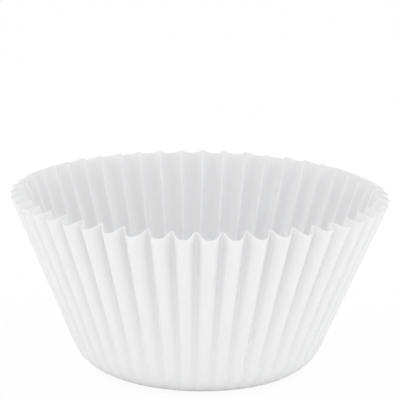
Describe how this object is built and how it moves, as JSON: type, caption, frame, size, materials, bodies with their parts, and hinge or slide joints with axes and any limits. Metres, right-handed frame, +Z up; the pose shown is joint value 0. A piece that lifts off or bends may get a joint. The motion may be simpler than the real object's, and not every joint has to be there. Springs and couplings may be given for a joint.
{
  "type": "cupcake liner",
  "caption": "Pleated paper cupcake liner: a flat round base, a rounded heel and a fluted wall that flares to an open mouth, for baking and serving small cakes.",
  "frame": {"origin": "middle of the flat base's underside, on the surface that the liner stands on", "axes": "+Z up along the cup's axis, out of its mouth; a ridge of the pleats lies on each of the X and Y axes"},
  "size_m": [0.072, 0.072, 0.0346],
  "materials": {
    "paper": "matte white greaseproof paper"
  },
  "bodies": {
    "root": {"liner": "paper"}
  },
  "joints": []
}
